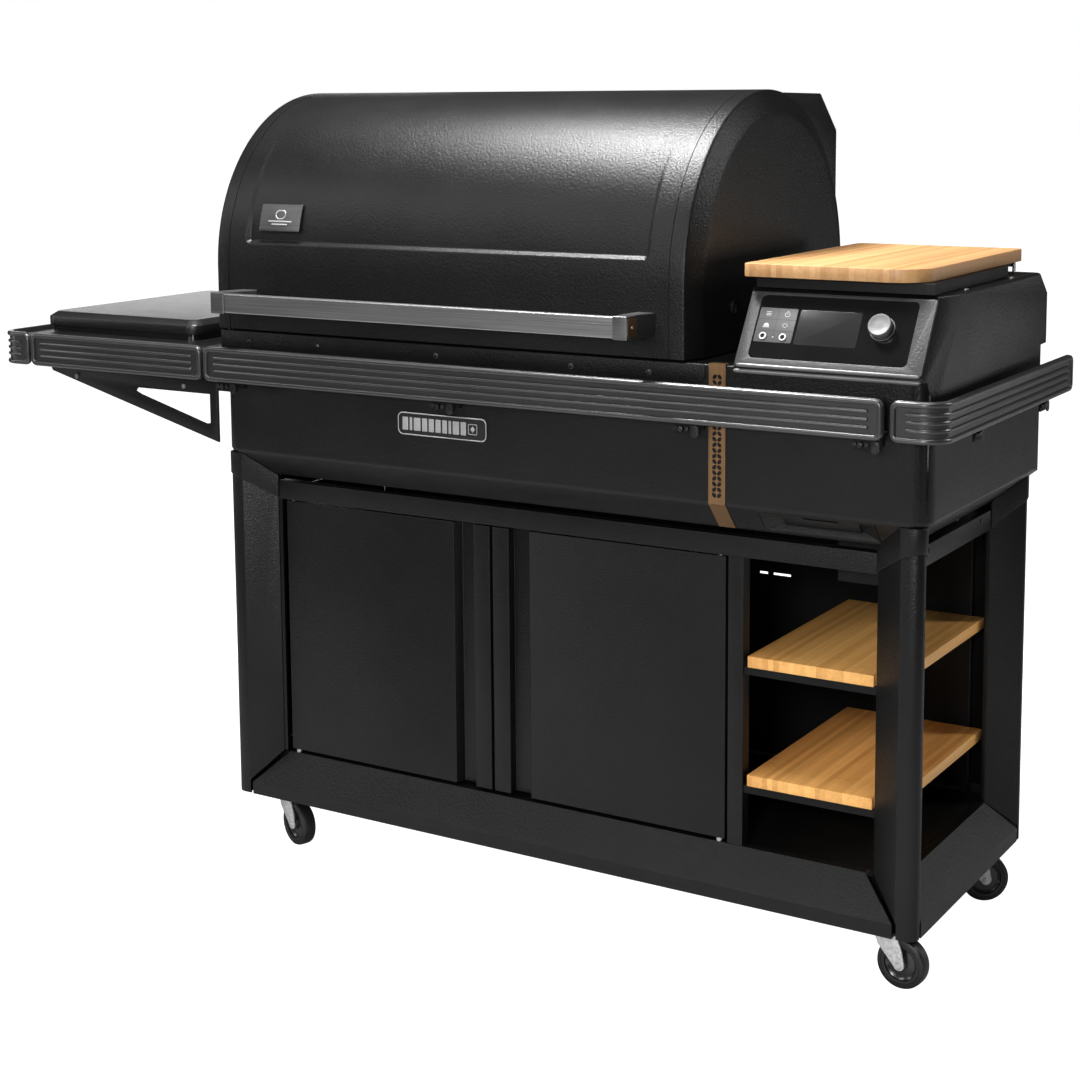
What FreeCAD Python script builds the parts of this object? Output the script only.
"""Pellet smoker grill: barrel with a hinged lid on a cabinet cart, pellet hopper with control
panel on the right, side shelf on the left, bumper rails all round, four casters.

Millimetres, +X to the right, +Y to the back, +Z up.  The origin is on the floor under the middle
of the whole grill.  Driving sizes live in the sheet "Sizes"; every piece is bound to it.
"""
import FreeCAD, Part
import Sketcher
import math
import os

os.makedirs("parts", exist_ok=True)
V = FreeCAD.Vector
doc = FreeCAD.newDocument("PelletGrill")
sheet = doc.addObject("Spreadsheet::Sheet", "Sizes")

SIZES = [
    # cart
    ("cart_left", -394), ("cart_right", 842), ("cart_front", -246), ("cart_back", 229),
    ("cart_base", 97), ("leg_top", 694), ("leg_col", 30), ("leg_side", 19), ("leg_bend", 16),
    ("leg_wing", 78), ("recess", 36), ("cap_gap", 0.3), ("cap_out", 2.2), ("plinth_gap", 5),
    ("lip_top", 118), ("plinth_top", 172), ("header_low", 614), ("header_high", 645),
    ("sheet_wall", 3), ("flange", 8),
    ("divider_left", 530), ("divider_right", 555),
    ("door_low", 178), ("door_high", 612), ("door_deep", 22),
    ("left_door_start", -299), ("left_door_end", 110),
    ("right_door_start", 115), ("right_door_end", 526),
    ("grip_wide", 38), ("grip_strip", 31), ("grip_deep", 16),
    ("pivot_in", 11), ("pivot_deep", 6), ("pivot_r", 3), ("pivot_gap", 0.06),
    ("shelf_left", 562), ("shelf_right", 791), ("shelf_back", 172), ("board_thick", 17),
    ("shelf_low", 284), ("shelf_high", 466),
    # body and hopper housing
    ("body_left", -398), ("body_right", 851), ("body_front", -251), ("body_back", 262),
    ("body_base", 657), ("bevel_top", 699), ("body_top", 903), ("body_round", 32),
    ("foot_left", -356), ("foot_right", 804), ("foot_front", -213), ("foot_back", 196),
    ("shell_wall", 2), ("hopper_left", 556), ("deck_top", 1011),
    ("deck_front", -184.5), ("deck_back", 222), ("deck_drop", 976),
    ("duct_back", 303), ("tub_left", -378), ("tub_right", 452), ("tub_front", -232), ("tub_back", 246),
    ("tub_base", 700), ("tub_top", 899), ("auger_z", 732), ("auger_r", 24),
    # lid
    ("lid_axis_y", 33.5), ("lid_axis_z", 1009), ("lid_round", 286), ("lid_low", 906),
    ("lid_left", -400), ("lid_right", 478), ("lid_rim", 25), ("lid_bulge", 15), ("lid_flat_round", 250),
    ("lid_wall", 2), ("liner_round", 264), ("hinge_y", 312), ("hinge_z", 911), ("hinge_r", 5),
    ("handle_front", -319.5), ("handle_low", 938.5), ("handle_high", 973),
    ("handle_left", -359), ("bar_left", -331), ("bar_right", 396), ("handle_right", 420),
    ("bar_inset", 1.5), ("arm_straight", 32),
    # control panel
    ("panel_left", 559), ("panel_right", 839), ("panel_long", 118), ("panel_thick", 5),
    ("glass_left", 577), ("glass_right", 815), ("glass_low", 13), ("glass_high", 113),
    ("knob_x", 768), ("knob_s", 70), ("knob_r", 17), ("knob_high", 14),
    # top board and hopper lid
    ("top_board_left", 551), ("top_board_right", 823), ("top_board_front", -210),
    ("top_board_back", 222), ("top_board_low", 1028), ("top_board_thick", 19), ("top_board_round", 55),
    ("slab_left", 564), ("slab_right", 835), ("slab_front", -192), ("slab_back", 117),
    ("slab_low", 1011.5), ("slab_high", 1027.5),
    # rails
    ("rail_front", -290), ("rail_low", 819), ("rail_high", 877), ("rail_thick", 10),
    ("rail_side", 886.5), ("rail_rear", 295), ("rail_bend", 40), ("rail_end_round", 12),
    ("rail_border", 7), ("rail_field", 3), ("rail_main_start", -407), ("rail_main_end", 798),
    ("rail_shelf_start", -808), ("rail_shelf_end", -412), ("rail_corner_start", 808),
    ("rail_left_start", -812.5),
    # side shelf and cooktop
    ("side_left", -876), ("side_right", -399), ("side_front", -279.5), ("side_back", 284),
    ("side_low", 838), ("side_top", 870), ("cover_left", -864), ("cover_right", -502),
    ("cover_front", -198), ("cover_back", 254), ("cover_low", 880), ("cover_top", 905),
    # casters
    ("caster_in_x", 66), ("caster_in_y", 64), ("wheel_r", 38), ("wheel_wide", 24),
    ("caster_trail", 26), ("caster_top", 95.5), ("axle_r", 4), ("axle_gap", 0.06),
]
for row, (alias, value) in enumerate(SIZES, start=1):
    sheet.set("A%d" % row, alias)
    sheet.set("B%d" % row, str(value))
    sheet.setAlias("B%d" % row, alias)
doc.recompute()


class Size:
    """A length that carries its value and the sheet expression it comes from."""

    def __init__(self, value, text):
        self.value, self.text = float(value), text

    def _with(self, other, sign, value):
        text = other.text if isinstance(other, Size) else repr(other)
        return Size(value, "(%s %s %s)" % (self.text, sign, text))

    def __add__(self, other):
        return self._with(other, "+", self.value + num(other))

    def __sub__(self, other):
        return self._with(other, "-", self.value - num(other))

    def __mul__(self, other):
        return self._with(other, "*", self.value * num(other))

    def __truediv__(self, other):
        return self._with(other, "/", self.value / num(other))

    def __neg__(self):
        return self * -1


def num(size):
    return size.value if isinstance(size, Size) else float(size)


D = {alias: Size(sheet.get(alias), "Sizes." + alias) for alias, _ in SIZES}
N = {alias: float(sheet.get(alias)) for alias, _ in SIZES}


def bind(obj, prop, size):
    """Give a property its value, bound to the sheet where the size comes from there."""
    if isinstance(size, Size):
        obj.setExpression(prop, size.text)
    elif "." in prop:
        obj.setExpression(prop, repr(float(size)))
    else:
        setattr(obj, prop, size)


def place(obj, x, y, z):
    for axis, size in (("x", x), ("y", y), ("z", z)):
        bind(obj, "Placement.Base." + axis, size)
    return obj


def box(xs, ys, zs):
    """Block between two x, two y and two z planes."""
    obj = doc.addObject("Part::Box", "Block")
    for prop, (low, high) in (("Length", xs), ("Width", ys), ("Height", zs)):
        bind(obj, prop, high - low)
    return place(obj, xs[0], ys[0], zs[0])


TURN = {"x": FreeCAD.Rotation(V(0, 1, 0), 90), "y": FreeCAD.Rotation(V(1, 0, 0), -90),
        "z": FreeCAD.Rotation()}


def rod(axis, x, y, z, radius, length):
    """Cylinder that starts at x, y, z and runs along +axis."""
    obj = doc.addObject("Part::Cylinder", "Rod")
    obj.Placement = FreeCAD.Placement(V(), TURN[axis])
    bind(obj, "Radius", radius)
    bind(obj, "Height", length)
    return place(obj, x, y, z)


PLANES = {"XY": ("XY_Plane", 1), "XZ": ("XZ_Plane", -1), "YZ": ("YZ_Plane", 1)}


def prism(plane, points, low, high):
    """Body padded from a sketched outline: points in the plane, from low to high across it."""
    role, way = PLANES[plane]
    body = doc.addObject("PartDesign::Body", "Body")
    sketch = body.newObject("Sketcher::SketchObject", "Outline")
    flat = [f for f in body.Origin.OriginFeatures if f.Role == role][0]
    sketch.AttachmentSupport = [(flat, "")]
    sketch.MapMode = "FlatFace"
    bind(sketch, "AttachmentOffset.Base.z", low if way > 0 else -high)
    count = len(points)
    for i, (a, b) in enumerate(points):
        c, d = points[(i + 1) % count]
        sketch.addGeometry(Part.LineSegment(V(num(a), num(b), 0), V(num(c), num(d), 0)), False)
    for i in range(count):
        sketch.addConstraint(Sketcher.Constraint("Coincident", i, 2, (i + 1) % count, 1))
    for i, point in enumerate(points):
        for kind, size in zip(("DistanceX", "DistanceY"), point):
            sign = -1 if num(size) < 0 else 1
            ends = (-1, 1, i, 1) if sign > 0 else (i, 1, -1, 1)
            index = sketch.addConstraint(Sketcher.Constraint(kind, *ends, abs(num(size))))
            if isinstance(size, Size):
                sketch.setExpression("Constraints[%d]" % index, (size * sign).text)
    pad = body.newObject("PartDesign::Pad", "Pad")
    pad.Profile = sketch
    bind(pad, "Length", high - low)
    return body


def boolean(kind, parts):
    obj = doc.addObject(kind, "Joined")
    obj.Shapes = list(parts)
    return obj


def fuse(*parts):
    return boolean("Part::MultiFuse", parts)


def cut(base, *tools):
    obj = doc.addObject("Part::Cut", "Trimmed")
    obj.Base = base
    obj.Tool = tools[0] if len(tools) == 1 else fuse(*tools)
    return obj


def group(*parts):
    """Separate pieces of one kind, kept as separate solids."""
    obj = doc.addObject("Part::Compound", "Set")
    obj.Links = list(parts)
    return obj


def feature(shape, placement=None):
    """Piece whose shape is made with Part's own functions, sized from the sheet."""
    obj = doc.addObject("Part::Feature", "Shaped")
    obj.Shape = shape
    if placement is not None:
        obj.Placement = placement
    return obj


NODES = []


def node(label, obj):
    obj.Label = label
    NODES.append(obj)
    return obj


def block(x0, x1, y0, y1, z0, z1):
    return Part.makeBox(x1 - x0, y1 - y0, z1 - z0, V(x0, y0, z0))


def bar(start, end, radius):
    line = V(*end) - V(*start)
    return Part.makeCylinder(radius, line.Length, V(*start), line)


def outline(points):
    return Part.makePolygon([V(*p) for p in points] + [V(*points[0])])


def solid_of(points, direction):
    return Part.Face(outline(points)).extrude(V(*direction))


def round_rect(x0, x1, y0, y1, r, z):
    """Closed wire of a rectangle with rounded corners, flat at height z."""
    k = r * (1 - math.sqrt(0.5))
    edges = []
    corners = [(x1, y0, 1, -1), (x1, y1, 1, 1), (x0, y1, -1, 1), (x0, y0, -1, -1)]
    for i, (x, y, sx, sy) in enumerate(corners):
        first, last = (V(x - sx * r, y, z), V(x, y - sy * r, z))
        if sx != -sy:
            first, last = last, first
        edges.append(Part.Arc(first, V(x - sx * k, y - sy * k, z), last).toShape())
    joined = []
    for i, edge in enumerate(edges):
        joined.append(edge)
        follow = edges[(i + 1) % 4]
        start, end = edge.Vertexes[-1].Point, follow.Vertexes[0].Point
        if (end - start).Length > 1e-6:
            joined.append(Part.LineSegment(start, end).toShape())
    return Part.Wire(joined)


def rounded(x0, x1, y0, y1, r, z0, z1):
    return Part.Face(round_rect(x0, x1, y0, y1, r, z0)).extrude(V(0, 0, z1 - z0))


def joined(shapes):
    first = shapes[0]
    return first.fuse(shapes[1:]).removeSplitter() if len(shapes) > 1 else first


# ---------------------------------------------------------------- body envelope
def tapered(inset, low, high):
    """Body outline with the bevelled skirt below it; inset moves every wall inwards."""
    k = inset
    foot = round_rect(N["foot_left"] + k, N["foot_right"] - k, N["foot_front"] + k,
                      N["foot_back"] - k, 12, N["body_base"] + low)
    waist = round_rect(N["body_left"] + k, N["body_right"] - k, N["body_front"] + k,
                       N["body_back"] - k, N["body_round"] - k, N["bevel_top"] + low)
    skirt = Part.makeLoft([foot, waist], True, True)
    tub = rounded(N["body_left"] + k, N["body_right"] - k, N["body_front"] + k, N["body_back"] - k,
                  N["body_round"] - k, N["bevel_top"] + low, high)
    return skirt.fuse(tub)


BODY_SPACE = tapered(0, -0.6, N["body_top"])

# ---------------------------------------------------------------- cart legs
# Folded angle: a plain column at the corner and two wings that lean inwards to the recess.
CORNERS = {"front_left": ("cart_left", 1, "cart_front", 1),
           "front_right": ("cart_right", -1, "cart_front", 1),
           "rear_left": ("cart_left", 1, "cart_back", -1),
           "rear_right": ("cart_right", -1, "cart_back", -1)}


def corner_points(spot, pairs):
    x_name, sx, y_name, sy = CORNERS[spot]
    x0, y0 = D[x_name], D[y_name]
    return [(x0 + a if sx > 0 else x0 - a, y0 + b if sy > 0 else y0 - b) for a, b in pairs]


wing, col, deep, wall, turn_in = D["leg_wing"], D["leg_col"], D["recess"], D["sheet_wall"], D["flange"]
side_col, bend = D["leg_side"], D["leg_bend"]


def corner_arc(depth, steps=6):
    """Round corner of the column, depth behind its face, from the front face to the side face."""
    turns = [math.pi / 2 * i / steps for i in range(steps + 1)]
    return [(bend - (bend - depth) * math.sin(a), bend - (bend - depth) * math.cos(a)) for a in turns]


WING_STEP = 1.6
LEG = [(wing, deep), (col, 0)] + corner_arc(0) + [
    (0, side_col), (deep, wing), (deep + turn_in, wing), (deep + turn_in, wing - wall),
    (deep + WING_STEP, wing - wall), (wall, side_col - 0.8)] + corner_arc(wall)[::-1] + [
    (col - 1, wall), (wing - wall, deep + WING_STEP), (wing - wall, deep + turn_in),
    (wing, deep + turn_in)]


def corner_solid(spot, points_xy, z0, z1):
    pts = [(num(a), num(b), z0) for a, b in corner_points(spot, points_xy)]
    return solid_of(pts, (0, 0, z1 - z0))


def mitre(start):
    """Outline of what is cut from a wing, from the column out to the tip."""
    low, lip, top, tip = N["cart_base"] - 7, N["lip_top"] + 2, N["plinth_top"] + 1, N["leg_wing"] + 1
    return [(start - 0.6, low), (start - 0.6, lip), (tip, top), (tip, low)]


LEGS = {}
for spot, (x_name, sx, y_name, sy) in CORNERS.items():
    leg = prism("XY", corner_points(spot, LEG), D["cart_base"], D["leg_top"])
    # mitres that clear the plinths under both wings
    under_front = solid_of([(N[x_name] + sx * a, N[y_name] - sy * 5, z) for a, z in mitre(N["leg_col"])],
                           (0, sy * 70, 0))
    under_side = solid_of([(N[x_name] - sx * 5, N[y_name] + sy * a, z) for a, z in mitre(N["leg_side"])],
                          (sx * 70, 0, 0))
    LEGS[spot] = cut(leg, feature(under_front), feature(under_side), feature(BODY_SPACE))

node("leg_front_left", LEGS["front_left"])
node("leg_front_right", LEGS["front_right"])
node("legs_rear", group(LEGS["rear_left"], LEGS["rear_right"]))

# ---------------------------------------------------------------- caps that wrap the leg tops
caps = []
CAP_FALL, CAP_LOW = 0.38, 660


def cover_line(gap, reach):
    """Plan line that follows the outside of a leg, gap outside it, from wing tip to wing tip."""
    points = [(num(x), num(y)) for x, y in corner_arc(-gap)]
    for width, swap in ((N["leg_col"], False), (N["leg_side"], True)):
        run, rise = N["leg_wing"] - width, N["recess"]
        slope = rise / run
        drop = gap * math.hypot(run, rise) / run
        crease = (width + (drop - gap) / slope, -gap)
        tip = (reach, (reach - width) * slope - drop)
        if swap:
            points = points + [crease[::-1], tip[::-1]]
        else:
            points = [tip, crease] + points
    return points


COVER_LOOP = cover_line(N["cap_out"], 80) + cover_line(N["cap_gap"], 78.6)[::-1]
for spot, (x_name, sx, y_name, sy) in CORNERS.items():
    x0, y0 = N[x_name], N[y_name]
    shell = corner_solid(spot, COVER_LOOP, 600, N["leg_top"])
    # slanted lower edge, falling from the corner towards the wing tips
    low = Part.makeBox(400, 400, 200, V(-200, -200, -200))
    normal = V(sx * CAP_FALL, sy * CAP_FALL, 1).normalize()
    low.Placement = FreeCAD.Placement(V(x0, y0, CAP_LOW), FreeCAD.Rotation(V(0, 0, 1), normal))
    caps.append(feature(shell.cut(low).cut(BODY_SPACE)))
node("leg_caps", group(*caps))

# ---------------------------------------------------------------- plinth, base frame and floor
f, b, l, r, z = D["cart_front"], D["cart_back"], D["cart_left"], D["cart_right"], D["cart_base"]


def plinth_profile(edge, sign):
    """Section of a plinth: kick lip, leaning face, top flange and bottom flange."""
    loop = [(0, z), (0, D["lip_top"]), (deep, D["plinth_top"]), (deep + 14, D["plinth_top"]),
            (deep + 14, D["plinth_top"] - 3), (deep + 2, D["plinth_top"] - 3),
            (3, D["lip_top"] - 1.2), (3, z + 3), (28, z + 3), (28, z)]
    return [(edge + a if sign > 0 else edge - a, height) for a, height in loop]


def plinth(along, edge, sign, low, high):
    plane = "YZ" if along == "x" else "XZ"
    strip = prism(plane, plinth_profile(edge, sign), low, high)
    tools = []
    lip, top = N["lip_top"], N["plinth_top"]
    for end, way in ((num(low), 1), (num(high), -1)):
        pts = []
        for a, height in ((-1, lip), (0, lip), (56, top), (66, top + 8), (-1, top + 8)):
            spot = end + way * a
            pts.append((spot, num(edge) - sign * 6, height) if along == "x"
                       else (num(edge) - sign * 6, spot, height))
        tools.append(feature(solid_of(pts, (0, sign * 80, 0) if along == "x" else (sign * 80, 0, 0))))
    return cut(strip, *tools)


start_x, start_y = col + D["plinth_gap"], side_col + D["plinth_gap"]
node("plinth_front", plinth("x", f, 1, l + start_x, r - start_x))
rear_plinth = plinth("x", b, -1, l + start_x, r - start_x)
left_plinth = plinth("y", l, 1, f + start_y, b - start_y)
right_plinth = plinth("y", r, -1, f + start_y, b - start_y)
base_parts = [rear_plinth, left_plinth, right_plinth]
SWIVELS = {}
BACKING, BACKING_START = 51, 46
for spot, (x_name, sx, y_name, sy) in CORNERS.items():
    x0, y0 = N[x_name], N[y_name]
    sx_mid, sy_mid = x0 + sx * N["caster_in_x"], y0 + sy * N["caster_in_y"]
    SWIVELS[spot] = (sx_mid, sy_mid)
    xs, ys = sorted((x0 + sx * 5, x0 + sx * 124)), sorted((y0 + sy * 5, y0 + sy * 124))
    gusset = rounded(xs[0], xs[1], ys[0], ys[1], N["leg_bend"] - 4, 100, 104)
    plate = block(sx_mid - 34, sx_mid + 34, sy_mid - 34, sy_mid + 34, 96, 100)
    king = Part.makeCylinder(6.06, 30, V(sx_mid, sy_mid, 90))
    # two upright plates that back the mitres at the corner
    near, far = sorted((y0 + sy * BACKING, y0 + sy * (BACKING + 1.5)))
    wide = sorted((x0 + sx * BACKING_START, x0 + sx * 124))
    behind_front = block(wide[0], wide[1], near, far, 103, N["plinth_top"] - 5.5)
    near, far = sorted((x0 + sx * BACKING, x0 + sx * (BACKING + 1.5)))
    wide = sorted((y0 + sy * BACKING_START, y0 + sy * 124))
    behind_side = block(near, far, wide[0], wide[1], 103, N["plinth_top"] - 5.5)
    base_parts.append(feature(joined([gusset, plate, behind_front, behind_side]).cut(king)))
node("base_frame", group(*base_parts))

floor_sheet = box((l + deep + 2.2, r - deep - 2.2), (f + deep + 2.2, b - deep - 2.2),
                  (D["plinth_top"] - 5, D["plinth_top"] - 3))
notches = []
for spot, (x_name, sx, y_name, sy) in CORNERS.items():
    # slots round the two turned-in tips of the leg
    for reach_x, reach_y in (((73.5, 79.5), (30, 46)), ((30, 46), (73.5, 79.5))):
        xs = sorted(N[x_name] + sx * a for a in reach_x)
        ys = sorted(N[y_name] + sy * a for a in reach_y)
        notches.append(feature(block(xs[0], xs[1], ys[0], ys[1], 150, 190)))
node("cabinet_floor", cut(floor_sheet, *notches))

# ---------------------------------------------------------------- cabinet walls, headers and stile
wall_z = (D["plinth_top"] + 0.5, D["header_low"] - 0.5)
left_wall = box((l + deep, l + deep + 1.5), (f + wing + 2, b - wing - 2), wall_z)
back_wall = cut(box((l + wing + 2, r - wing - 2), (b - deep - 1.5, b - deep), wall_z),
                box((393, 408), (b - deep - 5, b - deep + 5), (485, 489)),
                box((418, 450), (b - deep - 5, b - deep + 5), (485, 489)))
node("cabinet_walls", group(left_wall, back_wall))
head_z, dark_z = (D["header_low"], D["header_high"]), (D["header_low"] - 5, D["header_high"] - 2)
along_x, along_y = (l + wing + 0.5, r - wing - 0.5), (f + wing + 0.5, b - wing - 0.5)
past_x, past_y = (l + wing - 4, r - wing + 4), (f + wing - 4, b - wing + 4)
head_front = cut(box(along_x, (f + deep, f + deep + 20), head_z),
                 box(past_x, (f + deep + 2, f + deep + 26), dark_z))
head_rear = cut(box(along_x, (b - deep - 14, b - deep), head_z),
                box(past_x, (b - deep - 26, b - deep - 2), dark_z))
head_right = cut(box((r - deep - 20, r - deep), along_y, head_z),
                 box((r - deep - 26, r - deep - 2), past_y, dark_z))
head_left = cut(box((l + deep, l + deep + 14), along_y, head_z),
                box((l + deep + 2, l + deep + 26), past_y, dark_z))
jamb = box((l + wing + 0.5, l + wing + 6.5), (f + deep + 0.5, f + deep + 6.5), wall_z)
node("headers", group(head_front, head_rear, head_right, head_left, jamb))
SECTION = [(0, 0), (25, 0), (25, 22), (23, 22), (23, 2), (2, 2), (2, 22), (0, 22)]
post = [(D["divider_left"] + across, f + deep + 0.2 + depth) for across, depth in SECTION]
node("stile", prism("XY", post, D["plinth_top"] + 0.2, D["header_low"] - 0.3))

cleats = []
for top in ("shelf_low", "shelf_high"):
    zs = (D[top] - D["board_thick"] - 12, D[top] - D["board_thick"])
    for ys in ((f + deep + 3, f + deep + 8), (b - deep - 21, b - deep - 16)):
        cleats.append(box((D["divider_right"] + 0.1, r - wing - 0.1), ys, zs))
node("shelf_cleats", group(*cleats))
for name, top in (("shelf_lower", "shelf_low"), ("shelf_upper", "shelf_high")):
    zs = (D[top] - D["board_thick"], D[top])
    node(name, cut(box((D["shelf_left"], D["shelf_right"]), (f + deep + 0.5, D["shelf_back"]), zs),
                   box((r - wing - 4, D["shelf_right"] + 5), (f + deep - 5, f + deep + 10),
                       (zs[0] - 5, zs[1] + 5))))

# ---------------------------------------------------------------- doors
# Each door is a folded tray with a full-height finger channel beside its closing edge, and it
# turns on a pivot pin at its top and bottom, just behind its front face.
door_y = f + deep
PIVOTS = {"left": D["left_door_start"] + D["pivot_in"], "right": D["right_door_end"] - D["pivot_in"]}
pivot_y = door_y + D["pivot_deep"]
for side, pivot_x in PIVOTS.items():
    start, end = D[side + "_door_start"], D[side + "_door_end"]
    grip, strip, t = D["grip_wide"], D["grip_strip"], 1.6
    if side == "left":
        marks, flip = [start, end - strip - grip, end - strip - grip + 7, end - strip, end], 1
    else:
        marks, flip = [end, start + strip + grip, start + strip + grip - 7, start + strip, start], -1
    low_y, high_y, back_y = door_y, door_y + D["grip_deep"], door_y + D["door_deep"]
    skin = [(marks[0], low_y), (marks[1], low_y), (marks[2], high_y), (marks[3], high_y),
            (marks[3], low_y), (marks[4], low_y), (marks[4], back_y), (marks[0], back_y)]
    hollow = [(marks[0] + t * flip, low_y + t), (marks[1] - 0.6 * flip, low_y + t),
              (marks[2] - 0.6 * flip, high_y + t), (marks[3] + t * flip, high_y + t),
              (marks[3] + t * flip, low_y + t), (marks[4] - t * flip, low_y + t),
              (marks[4] - t * flip, back_y - t), (marks[0] + t * flip, back_y - t)]
    node("door_" + side, cut(prism("XY", skin, D["door_low"], D["door_high"]),
                             prism("XY", hollow, D["door_low"] + t, D["door_high"] - t),
                             rod("z", pivot_x, pivot_y, D["door_low"] - 5, D["pivot_r"] + D["pivot_gap"],
                                 D["door_high"] - D["door_low"] + 10)))

# ---------------------------------------------------------------- body shell with the hopper housing
RISE = math.atan2(N["deck_top"] - N["body_top"], N["deck_front"] - N["body_front"])
OUT = V(0, -math.sin(RISE), math.cos(RISE))
PANEL = FreeCAD.Placement(V(0, N["body_front"], N["body_top"]),
                          FreeCAD.Rotation(V(1, 0, 0), math.degrees(RISE)))


def housing(inset):
    k = inset
    loop = [(N["body_front"], N["body_top"] - 6), (N["body_front"], N["body_top"]),
            (N["deck_front"], N["deck_top"] - k), (N["deck_back"], N["deck_top"] - k),
            (N["body_back"] - k, N["deck_drop"] - k * 0.3),
            (N["body_back"] - k, N["body_top"] - 6)]
    if k:
        loop = [(y + (k * 1.2 if i < 3 else 0), h) for i, (y, h) in enumerate(loop)]
    x0, x1 = N["hopper_left"] + k, N["body_right"] - k
    return solid_of([(x0, y, h) for y, h in loop], (x1 - x0, 0, 0))


def cheek(inset):
    """Half space beyond the leaning cheek at the front right of the housing."""
    a, b, d = V(840, -251, 905), V(839, -190, 1002), V(851, -211, 874)
    normal = (b - a).cross(d - a).normalize()
    if normal.x < 0:
        normal = normal * -1
    side = Part.makeBox(800, 800, 200, V(-400, -400, 0))
    side.Placement = FreeCAD.Placement(a - normal * inset, FreeCAD.Rotation(V(0, 0, 1), normal))
    return side


k = N["shell_wall"]
outer = tapered(0, 0, N["body_top"]).fuse(housing(0)).cut(cheek(0))
hollow = tapered(k, k, N["body_top"] - k).fuse(housing(k)).cut(cheek(k))
shell = outer.cut(hollow)
mouth = block(N["tub_left"] - 0.5, N["tub_right"] + 0.5, N["tub_front"] - 0.5, N["tub_back"] + 0.5,
              895, 910)
feed = rounded(590, 810, -150, 90, 10, 1000, 1020)
shell = shell.cut(mouth).cut(feed)
SOCKETS = ((592, 48), (623, 47.5))
for x, s in SOCKETS:
    shell = shell.cut(Part.makeCylinder(3.4, 60, PANEL.multVec(V(x, s, -20)), OUT))
for x in (-250, 50, 350):
    shell = shell.cut(Part.makeCylinder(9, 30, V(x, 250, 790), V(0, 1, 0)))
LEAN = math.atan2(N["bevel_top"] - N["body_base"], N["body_front"] - N["foot_front"])
BEVEL = FreeCAD.Placement(V(594, N["foot_front"], N["body_base"]),
                          FreeCAD.Rotation(V(1, 0, 0), math.degrees(LEAN)))


def dish(inset, rim_depth, base_depth):
    """Pocket sunk in the bevel, its ends and long sides leaning inwards."""
    low, high = DISH_LOW + inset, DISH_HIGH - inset
    rim = outline([(inset, low, -rim_depth), (DISH_WIDE - inset, low, -rim_depth),
                   (DISH_WIDE - inset, high, -rim_depth), (inset, high, -rim_depth)])
    left, right = DISH_SLOPE + inset, DISH_WIDE - DISH_SLOPE - inset
    base = outline([(left, low + 4, -base_depth), (right, low + 4, -base_depth),
                    (right, high - 3, -base_depth), (left, high - 3, -base_depth)])
    solid = Part.makeLoft([rim, base], True, True)
    solid.Placement = BEVEL
    return solid


DISH_WIDE, DISH_LOW, DISH_HIGH, DISH_SLOPE = 178, 6, 48, 24
gap = Part.makeBox(DISH_WIDE + 0.6, DISH_HIGH - DISH_LOW + 0.6, 16, V(-0.3, DISH_LOW - 0.3, -4))
gap.Placement = BEVEL
node("body_shell", feature(shell.cut(gap)))

# ---------------------------------------------------------------- pieces inside the body
tub = cut(box((D["tub_left"], D["tub_right"]), (D["tub_front"], D["tub_back"]),
              (D["tub_base"], D["tub_top"])),
          box((D["tub_left"] + 1.5, D["tub_right"] - 1.5), (D["tub_front"] + 1.5, D["tub_back"] - 1.5),
              (D["tub_base"] + 2, D["tub_top"] + 10)),
          rod("z", 40, 0, D["tub_base"] - 10, 62, 30),
          rod("x", D["tub_right"] - 10, 0, D["auger_z"], D["auger_r"] + 0.5, 20))
ledges = [box((D["tub_left"] + 1, D["tub_right"] - 1), ys, (868, 871))
          for ys in ((D["tub_front"] + 1, D["tub_front"] + 12), (D["tub_back"] - 12, D["tub_back"] - 1))]
node("firebox", fuse(tub, *ledges))
pot = cut(fuse(rod("z", 40, 0, 664, 60, 100), rod("z", 40, 0, D["tub_base"] + 2.1, 72, 3)),
          rod("z", 40, 0, 668, 56, 120))
node("fire_pot", cut(pot, rod("x", 60, 0, D["auger_z"], D["auger_r"] + 0.5, 100)))
tray_loop = [(-370, 800), (40, 815), (445, 800), (445, 802), (40, 817), (-370, 802)]
node("drip_tray", prism("XZ", tray_loop, -222, 236))
tube = cut(rod("x", 98, 0, D["auger_z"], D["auger_r"], 497),
           rod("x", 90, 0, D["auger_z"], D["auger_r"] - 2.5, 520),
           box((560, 580), (-14, 14), (740, 770)))
motor = fuse(box((595.5, 690), (-45, 45), (690, 764)), box((690, 760), (-30, 30), (700, 756)))
node("auger_drive", group(tube, motor))


def funnel(inset, low, top):
    """Upright bin above a tapering throat, as one solid."""
    k = inset
    wide = [(586 + k, -154 + k, 880), (814 - k, -154 + k, 880), (814 - k, 94 - k, 880),
            (586 + k, 94 - k, 880)]
    neck = [(640 + k, -60 + k, low), (760 - k, -60 + k, low), (760 - k, 40 - k, low), (640 + k, 40 - k, low)]
    throat = Part.makeLoft([outline(neck), outline(wide)], True, True)
    return throat.fuse(solid_of(wide, (0, 0, top - 880)))


node("pellet_bin", feature(funnel(0, 775, 1007.5).cut(funnel(2, 774, 1012))))

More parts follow.
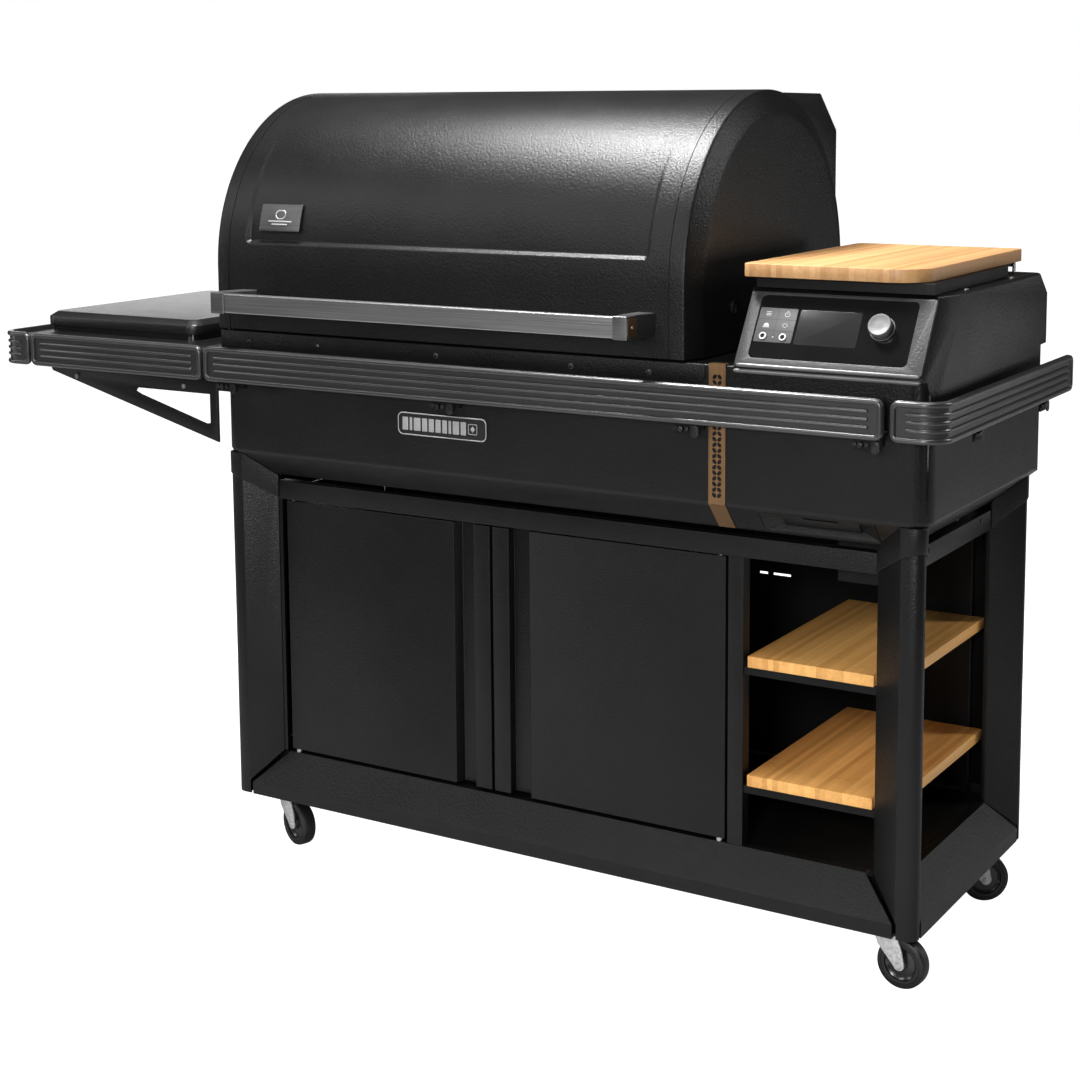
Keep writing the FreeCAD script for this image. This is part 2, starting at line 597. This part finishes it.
bars = []
for level, (x0, x1, y0, y1, step) in ((872, (-372, 446, -228, 242, 26)), (1040, (-330, 404, -90, 210, 26))):
    rack = [block(x0, x1, y, y + 5, level, level + 5) for y in (y0, y1 - 5, (y0 + y1) / 2)]
    rack += [block(x0 + 2 + i * step, x0 + 6 + i * step, y0, y1, level + 1, level + 5)
             for i in range(int((x1 - x0 - 6) / step) + 1)]
    if level > 900:
        rack += [block(x, x + 5, y, y + 5, 877.2, level + 2) for x in (x0, x1 - 5) for y in (y0, y1 - 5)]
    bars.append(feature(joined(rack)))
node("grates", group(*bars))
node("control_box", box((685, 745), (-165, -100), (586, D["body_base"] - 0.1)))
inlet = rounded(-14, 14, -10, 10, 3, 0, 16).cut(rounded(-11, 11, -7, 7, 2, 6, 20))
node("power_inlet", feature(inlet, FreeCAD.Placement(V(700, N["body_back"] + 0.1, 760),
                                                     FreeCAD.Rotation(V(1, 0, 0), -90))))

# rear duct that carries the smoke down behind the barrel
duct = box((D["body_left"] + 4, D["lid_right"] - 4), (D["body_back"] + 0.2, D["duct_back"]),
           (720, D["body_top"]))
duct_inside = box((D["body_left"] + 6, D["lid_right"] - 6), (D["body_back"] + 2.2, D["duct_back"] - 2),
                  (722, D["body_top"] + 5))
duct_outlet = box((D["body_left"] + 60, D["lid_right"] - 60), (D["body_back"] + 8, D["duct_back"] - 8),
                  (715, 725))
node("rear_duct", cut(duct, duct_inside, duct_outlet))

# ---------------------------------------------------------------- lid
AXIS = V(0, N["lid_axis_y"], N["lid_axis_z"])


def dome_wire(x, radius, low):
    """Section of the barrel lid at x: half circle on straight sides."""
    y, zc = AXIS.y, AXIS.z
    left, right, top = V(x, y - radius, zc), V(x, y + radius, zc), V(x, y, zc + radius)
    base = [V(x, y + radius, low), V(x, y - radius, low)]
    lines = [(right, base[0]), (base[0], base[1]), (base[1], left)]
    return Part.Wire([Part.Arc(left, top, right).toShape()] + [
        Part.LineSegment(a, c).toShape() for a, c in lines])


def dome(x0, x1, radius, low):
    return Part.Face(dome_wire(x0, radius, low)).extrude(V(x1 - x0, 0, 0))


LID_LOW = N["lid_low"]
R0, T0 = N["lid_round"], N["lid_wall"]
seam_l, seam_r = N["lid_left"] + N["lid_rim"], N["lid_right"] - N["lid_rim"]


# the recessed field is a cylinder a little smaller than the barrel, shifted towards its upper front
FIELD_LEAN, FIELD_SHIFT = math.radians(50), 21
FIELD_OFFSET = V(0, -math.cos(FIELD_LEAN), math.sin(FIELD_LEAN)) * FIELD_SHIFT


def embossed(inset):
    """Dome with the shallow recessed field pressed into its front; inset moves it inwards."""
    shape = dome(seam_l + 0.3, seam_r - 0.3, R0 - inset, LID_LOW - inset)
    centre = AXIS + FIELD_OFFSET
    x0, x1, z0 = -342 + inset * 0.5, 420 - inset * 0.5, 1048 + inset * 0.6
    ring = Part.makeCylinder(R0 + 30, x1 - x0, V(x0, AXIS.y, AXIS.z), V(1, 0, 0))
    small = R0 - FIELD_SHIFT - inset
    ring = ring.cut(Part.makeCylinder(small, x1 - x0, V(x0, centre.y, centre.z), V(1, 0, 0)))
    ring = ring.common(block(x0, x1, AXIS.y - 400, AXIS.y - 60, z0, 1245))
    return shape.cut(ring)


HINGES = (-300, 35, 370)
hy, hz, hr = N["hinge_y"], N["hinge_z"], N["hinge_r"]
skin = embossed(0).cut(embossed(T0)).cut(block(-600, 600, -600, 600, 800, LID_LOW))
leaves = []
for x in HINGES:
    skin = skin.cut(block(x - 0.5, x + 30.15, 300, 330, 900, hz + 7))
    leaf = bar((x + 30.3, hy, hz), (x + 60, hy, hz), hr)
    leaf = leaf.fuse(block(x + 30.3, x + 60, hy, AXIS.y + R0 - 1, hz - 3, hz + 5))
    leaves.append(leaf.cut(bar((x, hy, hz), (x + 80, hy, hz), 3.06)))
node("lid_skin", feature(joined([skin] + leaves)))


def capsule(edge, seam, way, inset):
    """End of the lid: a rim that carries on the barrel, then a bevel down to a flat face."""
    rim = dome(min(edge, seam), max(edge, seam), R0 - inset, LID_LOW - inset)
    flat = edge + way * (N["lid_bulge"] - inset * 0.6)
    nose = Part.makeLoft([dome_wire(edge, R0 - inset, LID_LOW - inset),
                          dome_wire(flat, N["lid_flat_round"] - inset, LID_LOW - inset)], True, True)
    return rim.fuse(nose)


ends = []
for edge, seam, way in ((N["lid_left"], seam_l, -1), (N["lid_right"], seam_r, 1)):
    ends.append(feature(capsule(edge, seam, way, 0).cut(capsule(edge, seam - way * 2, way, T0)).cut(
        block(-600, 600, -600, 600, 800, LID_LOW))))
node("lid_ends", group(*ends))

LR = N["liner_round"]
liner = dome(-374, 452, LR, 915).cut(dome(-372.8, 450.8, LR - 1.2, 905))
node("lid_liner", feature(liner))

hood_loop = [(AXIS.y + 40, 1290.5), (250, 1288), (254, 1286.5), (318, 1228), (319.5, 1224),
             (319.5, 1040), (200, 1040)]
hood_in = [(AXIS.y + 40, 1286), (250, 1286), (315.6, 1226), (317.3, 1222), (317.3, 1030), (200, 1030)]
hood = solid_of([(-390, y, h) for y, h in hood_loop], (858, 0, 0))
hood = hood.cut(Part.makeCylinder(R0 + 0.15, 900, V(-400, AXIS.y, AXIS.z), V(1, 0, 0)))
void = solid_of([(-388, y, h) for y, h in hood_in], (854, 0, 0))
void = void.cut(Part.makeCylinder(R0 + 2, 900, V(-400, AXIS.y, AXIS.z), V(1, 0, 0)))
hood = hood.cut(void)
for x in (-300, -120, 60, 240):
    hood = hood.cut(block(x, x + 120, 312, 325, 1110, 1122))
node("exhaust_hood", feature(hood))

hb, hl, hh = N["handle_front"], N["handle_low"], N["handle_high"]
lid_face = AXIS.y - R0
inset = N["bar_inset"]
bar_body = Part.makeBox(N["bar_right"] - N["bar_left"], 14, hh - hl - 2 * inset,
                        V(N["bar_left"], hb + inset, hl + inset))
long_edges = [e for e in bar_body.Edges if abs(e.tangentAt(0).x) > 0.9]
node("handle_bar", feature(bar_body.makeFillet(2.2, long_edges)))


def handle_end(x_out, x_in, base_out, base_in):
    """Cap on one end of the bar with an arm that runs back to the lid."""
    return solid_of([(x_out, hb, hl), (x_in, hb, hl), (x_in, hb + 17, hl), (base_in, lid_face - 0.1, hl),
                     (base_out, lid_face - 0.1, hl), (x_out, hb + N["arm_straight"], hl)], (0, 0, hh - hl))


def side_plate(margin, low, high):
    """Rounded plate that stands in the outer side of the right arm."""
    tall, long = (hh - hl) / 2 - 3.5 + margin, 13 + margin
    shape = rounded(-tall, tall, -long, long, 5, low, high)
    shape.Placement = FreeCAD.Placement(V(N["handle_right"], hb + 16.5, (hl + hh) / 2),
                                        FreeCAD.Rotation(V(0, 1, 0), 90))
    return shape


arm_left = handle_end(N["handle_left"], N["bar_left"] - 0.2, -345, -315)
arm_right = handle_end(N["handle_right"], N["bar_right"] + 0.2, 431, 401)
node("handle_arms", group(feature(arm_left), feature(arm_right.cut(side_plate(0.2, -1.2, 5)))))
node("handle_inlay", feature(side_plate(0, -1.1, 0.3)))
BADGE_X, BADGE_LIFT, BADGE_HALF = -314, 0.6, 23
badge = Part.makeCylinder(R0 + BADGE_LIFT, 84, V(0, 0, 0), V(1, 0, 0))
badge = badge.common(block(0, 84, -R0 - 10, 0, -BADGE_HALF, BADGE_HALF))
badge.Placement = FreeCAD.Placement(V(BADGE_X, AXIS.y, AXIS.z), FreeCAD.Rotation(V(1, 0, 0), -17))
field = AXIS + FIELD_OFFSET
badge = badge.cut(Part.makeCylinder(R0 - FIELD_SHIFT + 0.1, 120, V(BADGE_X - 10, field.y, field.z),
                                    V(1, 0, 0)))
node("lid_badge", feature(badge))

pins = []
back = N["duct_back"] + 0.1
for x in HINGES:
    knuckle = bar((x, hy, hz), (x + 30, hy, hz), hr - 0.4)
    strap = block(x, x + 30, back, back + 2.9, 870, hz - 5)
    tongue = solid_of([(x, back, hz - 7), (x, back + 2.9, hz - 13), (x, hy + 1, hz - 4),
                       (x, hy - 3, hz - 1)], (30, 0, 0))
    pins.append(feature(joined([bar((x, hy, hz), (x + 61, hy, hz), 3), knuckle, strap, tongue])))
pin_y, pin_r = num(pivot_y), N["pivot_r"]
for pivot_x in PIVOTS.values():
    x = num(pivot_x)
    foot_pin = Part.makeCylinder(pin_r, 16, V(x, pin_y, N["plinth_top"]))
    collar = Part.makeCylinder(pin_r + 2.5, 5.6, V(x, pin_y, N["plinth_top"]))
    pins.append(feature(joined([foot_pin, collar])))
    head_pin = Part.makeCylinder(pin_r, 16, V(x, pin_y, N["header_low"] - 14))
    plate = block(x - 9, x + 9, num(door_y) + 2, num(door_y) + 16,
                  N["header_low"] - 0.4, N["header_low"] + 2.6)
    pins.append(feature(joined([head_pin, plate])))

# ---------------------------------------------------------------- hopper lid and cutting board
slab = cut(box((D["slab_left"], D["slab_right"]), (D["slab_front"], D["slab_back"]),
               (D["slab_low"], D["slab_high"])),
           box((D["slab_left"] + 2, D["slab_right"] - 2), (D["slab_front"] + 2, D["slab_back"] - 2),
               (D["slab_low"] - 5, D["slab_high"] - 2)))
COVER_HINGES = (590, 790)
arms = [box((x, x + 18), (D["slab_back"] - 12, D["top_board_back"] - 3),
            (D["slab_high"] - 7, D["slab_high"] - 3)) for x in COVER_HINGES]
barrels = [rod("x", x, D["top_board_back"] - 2, D["slab_high"] - 5, 4.5, 18) for x in COVER_HINGES]
bores = [rod("x", x - 5, D["top_board_back"] - 2, D["slab_high"] - 5, 2.55, 40) for x in COVER_HINGES]
node("hopper_lid", cut(fuse(slab, *(arms + barrels)), *bores))
hopper_y, hopper_z = N["top_board_back"] - 2, N["slab_high"] - 5
for x in COVER_HINGES:
    posts = [solid_of([(xx, hopper_y - 5, N["deck_top"] + 0.1), (xx, hopper_y + 4, N["deck_top"] + 0.1),
                       (xx, hopper_y + 4, hopper_z + 3), (xx, hopper_y - 4, hopper_z + 3)], (3, 0, 0))
             for xx in (x - 4, x + 18.6)]
    pin = bar((x - 4, hopper_y, hopper_z), (x + 21, hopper_y, hopper_z), 2.5)
    pins.append(feature(joined([pin] + posts)))
node("hinge_pins", group(*pins))
x0, x1, y0, y1 = [N["top_board_" + name] for name in ("left", "right", "front", "back")]
z0, z1 = N["top_board_low"], N["top_board_low"] + N["top_board_thick"]
node("cutting_board", feature(rounded(x0, x1, y0, y1, 8, z0, z1).common(
    rounded(x0 - 200, x1, y0, y1 + 200, N["top_board_round"], z0, z1))))

# ---------------------------------------------------------------- control panel (lies on the leaning face)
frame_parts = rounded(N["panel_left"], N["panel_right"], 1, N["panel_long"], 3, 0.1, N["panel_thick"])
window = rounded(N["glass_left"], N["glass_right"], N["glass_low"], N["glass_high"], 8, -1, 20)
node("panel_frame", feature(frame_parts.cut(window), PANEL))
glass = rounded(N["glass_left"] + 0.4, N["glass_right"] - 0.4, N["glass_low"] + 0.4,
                N["glass_high"] - 0.4, 7.6, 0.1, 3.6)
glass = glass.cut(Part.makeCylinder(3.05, 20, V(N["knob_x"], N["knob_s"], -5)))
for x, s in SOCKETS:
    glass = glass.cut(Part.makeCylinder(3.4, 20, V(x, s, -5)))
node("panel_glass", feature(glass, PANEL))
knob_cap = Part.makeCylinder(N["knob_r"], N["knob_high"] - 4, V(0, 0, 8))
knob_skirt = Part.makeCylinder(N["knob_r"] - 1.5, 4.2, V(0, 0, 4))
knob_spindle = Part.makeCylinder(3, 3.6, V(0, 0, 0.5))
knob_spot = FreeCAD.Placement(V(N["knob_x"], N["knob_s"], 0), FreeCAD.Rotation())
node("knob", feature(joined([knob_cap, knob_skirt, knob_spindle]), PANEL.multiply(knob_spot)))
sockets = []
for x, s in SOCKETS:
    sleeve = Part.makeCylinder(3.2, 12, V(x, s, -7)).fuse(Part.makeCylinder(4.6, 1.6, V(x, s, 3.7)))
    sockets.append(feature(sleeve.cut(Part.makeCylinder(1.7, 14, V(x, s, -5))), PANEL))
node("probe_sockets", group(*sockets))

# ---------------------------------------------------------------- bumper rails
def rail_strip(points, z0, z1, d0, d1, bend):
    """Upright strip that follows a plan path with rounded bends; d0 and d1 are depths behind its face."""
    def side(depth):
        edges, last = [], None
        pts = [V(*p, z0) for p in points]
        segs = []
        for a, c in zip(pts, pts[1:]):
            run = (c - a).normalize()
            back = V(-run.y, run.x, 0)
            segs.append((a + back * depth, c + back * depth, back))
        line, cur = [], segs[0][0]
        for i, (a, c, back) in enumerate(segs):
            if i + 1 < len(segs):
                corner, next_back = pts[i + 1], segs[i + 1][2]
                centre = corner + (back + next_back) * bend
                radius = bend - depth
                start, end = centre - back * radius, centre - next_back * radius
                mid = centre - (back + next_back).normalize() * radius
                line.append(Part.LineSegment(cur, start).toShape())
                line.append(Part.Arc(start, mid, end).toShape())
                cur = end
            else:
                line.append(Part.LineSegment(cur, c).toShape())
        return line
    front, back = side(d0), side(d1)
    closing = [Part.LineSegment(front[-1].Vertexes[-1].Point, back[-1].Vertexes[-1].Point).toShape(),
               Part.LineSegment(back[0].Vertexes[0].Point, front[0].Vertexes[0].Point).toShape()]
    wire = Part.Wire(Part.__sortEdges__(front + back + closing))
    return Part.Face(wire).extrude(V(0, 0, z1 - z0))


def shorten(points, gap):
    pts = [V(*p, 0) for p in points]
    pts[0] = pts[0] + (pts[1] - pts[0]).normalize() * gap
    pts[-1] = pts[-1] + (pts[-2] - pts[-1]).normalize() * gap
    return [(p.x, p.y) for p in pts]


def rail(points):
    """Bumper rail: flat band with rounded ends, a recessed field and three ribs along it."""
    z0, z1, thick, tip_r = N["rail_low"], N["rail_high"], N["rail_thick"], N["rail_end_round"]
    bend, border, field_deep = N["rail_bend"], N["rail_border"], N["rail_field"]
    band = rail_strip(points, z0, z1, 0, thick, bend)
    mids = rail_strip(shorten(points, tip_r), z0 - 1, z1 + 1, -1, thick + 1, bend)
    tips = []
    for p, q in ((points[0], points[1]), (points[-1], points[-2])):
        way = (V(*q, 0) - V(*p, 0)).normalize()
        inward = V(-way.y, way.x, 0) if p == points[0] else V(way.y, -way.x, 0)
        for h in (z0 + tip_r, z1 - tip_r):
            spot = V(*p, h) + way * tip_r - inward
            tips.append(Part.makeCylinder(tip_r, thick + 2, spot, inward))
    waist = rail_strip(points, z0 + tip_r, z1 - tip_r, -1, thick + 1, bend)
    band = band.common(joined([mids, waist] + tips))
    well = rail_strip(shorten(points, border + 1), z0 + border, z1 - border, -1, field_deep, bend)
    band = band.cut(well)
    pitch = (z1 - z0 - 2 * border) / 4
    for i in (1, 2, 3):
        mid = z0 + border + pitch * i
        band = band.fuse(rail_strip(shorten(points, 22), mid - 2.6, mid + 2.6, 0.6, field_deep + 0.5, bend))
    return band.removeSplitter()


fy, rail_x = N["rail_front"], N["rail_side"]
node("rail_front", feature(rail([(N["rail_main_start"], fy), (N["rail_main_end"], fy)])))
node("rail_shelf", feature(rail([(N["rail_shelf_start"], fy), (N["rail_shelf_end"], fy)])))
node("rails_corner", group(
    feature(rail([(N["rail_corner_start"], fy), (rail_x, fy), (rail_x, N["rail_rear"])])),
    feature(rail([(-rail_x, N["rail_rear"]), (-rail_x, fy), (N["rail_left_start"], fy)]))))

brackets = []
rail_back, rail_inside = N["rail_front"] + N["rail_thick"] + 0.1, rail_x - N["rail_thick"] - 0.1
for x in (-362, 72, 497, 773):
    leg = block(x - 20, x + 20, rail_back, N["body_front"] - 0.1, 824, 828)
    tab = block(x - 20, x + 20, rail_back, rail_back + 3, 803, 850)
    foot = block(x - 14, x + 14, N["body_front"] - 3.1, N["body_front"] - 0.1, 806, 850)
    brackets.append(feature(joined([leg, tab, foot])))
for y in (-120, 180):
    leg = block(N["body_right"] + 0.1, rail_inside, y - 20, y + 20, 824, 828)
    tab = block(rail_inside - 3, rail_inside, y - 20, y + 20, 803, 850)
    foot = block(N["body_right"] + 0.1, N["body_right"] + 3.1, y - 14, y + 14, 806, 850)
    brackets.append(feature(joined([leg, tab, foot])))
node("rail_brackets", group(*brackets))

# ---------------------------------------------------------------- side shelf, its brackets and the cooktop
x0, x1, y0, y1, z0, z1 = [N["side_" + name] for name in ("left", "right", "front", "back", "low", "top")]
pan = rounded(x0, x1 + 60, y0, y1, 33, z0, z1)
pan = pan.cut(rounded(x0 + 2, x1 + 58, y0 + 2, y1 - 2, 31, z0 - 5, z1 - 2))
rim_wall = block(x1 - 2, x1, y0 + 2, y1 - 2, z0, z1 - 1)
node("side_shelf", feature(joined([pan.common(block(x0, x1, y0, y1, z0, z1)), rim_wall])))
TRI = [(-782, 809), (-399.2, 711), (-399.2, 837.6), (-800, 837.6)]
HOLE = [(-580, 792), (-417, 792), (-417, 743), (-426, 741), (-573, 781), (-585, 786)]
plates = []
for low in (-262, 262):
    plates.append(cut(prism("XZ", TRI, low, low + 4), prism("XZ", HOLE, low - 3, low + 8)))
node("shelf_brackets", group(*plates))
cl, cr, cf, cb = N["cover_left"], N["cover_right"], N["cover_front"], N["cover_back"]
base_plate = rounded(cl + 6, cr - 6, cf + 6, cb - 6, 20, N["side_top"] + 0.1, N["cover_low"] - 0.3)
base_plate = base_plate.cut(rounded(cl + 9, cr - 9, cf + 9, cb - 9, 17, N["side_top"] + 2.1,
                                    N["cover_low"] + 1))
hob = rounded(cl + 22, cr - 22, cf + 22, cb - 22, 14, N["cover_low"] - 0.2, N["cover_low"] + 5)
node("cooktop", feature(base_plate.fuse(hob)))


def lid_form(inset, low, high):
    k, slope = inset, inset + 14
    lower = rounded(cl + k, cr - k, cf + k, cb - k, 26 - k, low, high - 9)
    upper = Part.makeLoft([round_rect(cl + k, cr - k, cf + k, cb - k, 26 - k, high - 9),
                           round_rect(cl + slope, cr - slope, cf + slope, cb - slope, 16 - k * 0.5, high)],
                          True, True)
    return lower.fuse(upper)


node("cooktop_cover", feature(lid_form(0, N["cover_low"], N["cover_top"]).cut(
    lid_form(2, N["cover_low"] - 5, N["cover_top"] - 2))))

# ---------------------------------------------------------------- trim
y_face = N["body_front"]
band_x = (518, 545)
straight = block(band_x[0], band_x[1], y_face - 1.4, y_face - 0.1, 699.5, 904.5)
fold = block(band_x[0], band_x[1], y_face - 1.4, y_face + 12, 903.1, 904.5)
lean = solid_of([(band_x[0], y_face - 1.4, 700.5), (band_x[0], y_face - 0.1, 700.5),
                 (band_x[0], y_face - 0.3, 699),
                 (band_x[0], N["foot_front"] - 1.5, 658), (band_x[0], N["foot_front"] - 3, 658),
                 (band_x[0], y_face - 1.4, 698.5)], (27, 0, 0))
strap = joined([straight, fold, lean])
LEAF_ROWS, LEAF_PITCH, LEAF_LOW, LEAF_HALF, LEAF_BELLY = 22, 8.25, 712, 3.1, 2.9


def leaf(x, z, tilt):
    """Leaf-shaped hole between two pointed corners, cut through the strap."""
    tip = V(x - tilt * LEAF_HALF, y_face - 3, z - LEAF_HALF)
    tail = V(x + tilt * LEAF_HALF, y_face - 3, z + LEAF_HALF)
    belly = V(tilt * LEAF_BELLY, 0, -LEAF_BELLY) * math.sqrt(0.5)
    middle = (tip + tail) * 0.5
    wire = Part.Wire([Part.Arc(tip, middle + belly, tail).toShape(),
                      Part.Arc(tail, middle - belly, tip).toShape()])
    return Part.Face(wire).extrude(V(0, 2.95, 0))


leaf_cut = [leaf(x, LEAF_LOW + row * LEAF_PITCH, way if row % 2 else -way)
            for row in range(LEAF_ROWS) for x, way in ((527.5, 1), (535.5, -1))]
strap = strap.cut(Part.makeCompound(leaf_cut))
node("accent_band", feature(strap))
plate = rounded(-34, 135, -18.5, 18.5, 10, 0, 1.5)
plate = plate.cut(rounded(-31, 132, -15.5, 15.5, 7.5, 0.9, 3))
node("name_plate", feature(plate, FreeCAD.Placement(V(0, y_face - 0.1, 773.5),
                                                    FreeCAD.Rotation(V(1, 0, 0), 90))))

screws = []


def screw(x, y, zc, direction, radius=4):
    head = Part.makeCylinder(radius, 2, V(x, y, zc), V(*direction))
    return feature(head)


for x in (-336, -193, 41, 287, 420):
    screws.append(screw(x, y_face - 0.1, 885, (0, -1, 0)))
for y in (-93, 106):
    screws.append(screw(843, y, N["deck_top"] + 0.05, (0, 0, 1), 3.5))
for x in (-722, -473):
    screws.append(screw(x, -262.1, 802, (0, -1, 0)))
node("screws", group(*screws))
node("cleanout_door", feature(dish(0, 0, 12).cut(dish(1.6, -0.1, 10.4))))

# ---------------------------------------------------------------- casters
AIM = {"front_left": -20, "front_right": -5, "rear_right": 33, "rear_left": 15}
for spot, (x, y) in SWIVELS.items():
    spin = FreeCAD.Placement(V(x, y, 0), FreeCAD.Rotation(V(0, 0, 1), AIM[spot]))
    tr, wr, ww, ct = N["caster_trail"], N["wheel_r"], N["wheel_wide"], N["caster_top"]
    crown = Part.makeCylinder(22, 4.5, V(0, 0, ct - 4.5)).fuse(Part.makeCylinder(6, 8, V(0, 0, ct - 1)))
    crown = crown.fuse(block(-16, 20, -ww / 2 - 4.5, ww / 2 + 4.5, ct - 6.5, ct - 3.5))
    legs = []
    for low in (-ww / 2 - 4.5, ww / 2 + 1.5):
        loop = [(-16, ct - 4), (20, ct - 4), (tr + 8.5, wr + 5), (tr + 7, wr - 5), (tr, wr - 8.5),
                (tr - 7, wr - 5), (tr - 11, wr + 8)]
        legs.append(solid_of([(a, low, h) for a, h in loop], (0, 3, 0)))
    axle = bar((tr, -ww / 2 - 6.5, wr), (tr, ww / 2 + 6.5, wr), N["axle_r"])
    node("fork_" + spot, feature(joined([crown] + legs + [axle]), spin))
for spot, (x, y) in SWIVELS.items():
    spin = FreeCAD.Placement(V(x, y, 0), FreeCAD.Rotation(V(0, 0, 1), AIM[spot]))
    tyre = bar((tr, -ww / 2, wr), (tr, ww / 2, wr), wr)
    tyre = tyre.makeFillet(5, [e for e in tyre.Edges if e.Curve.TypeId == "Part::GeomCircle"])
    for low in (-ww / 2 - 1, ww / 2 - 3):
        groove = bar((tr, low, wr), (tr, low + 4, wr), 24).cut(bar((tr, low, wr), (tr, low + 4, wr), 10))
        tyre = tyre.cut(groove)
    tyre = tyre.cut(bar((tr, -ww, wr), (tr, ww, wr), N["axle_r"] + N["axle_gap"]))
    node("wheel_" + spot, feature(tyre, spin))

# ---------------------------------------------------------------- check and write
doc.recompute()
for obj in doc.Objects:
    if "Invalid" in obj.State or "Error" in obj.State:
        raise RuntimeError("%s (%s) did not build: %s" % (obj.Name, obj.Label, obj.State))
for obj in NODES:
    if obj.Shape.isNull() or not obj.Shape.isValid() or not obj.Shape.Solids:
        raise RuntimeError("%s has no valid shape" % obj.Label)
for obj in NODES:
    obj.Shape.exportStep("parts/%s.step" % obj.Label)
total = Part.makeCompound([obj.Shape for obj in NODES]).BoundBox
limits = (total.XMin, total.XMax, total.YMin, total.YMax, total.ZMin, total.ZMax)
print(len(NODES), "nodes", [round(v, 2) for v in limits])
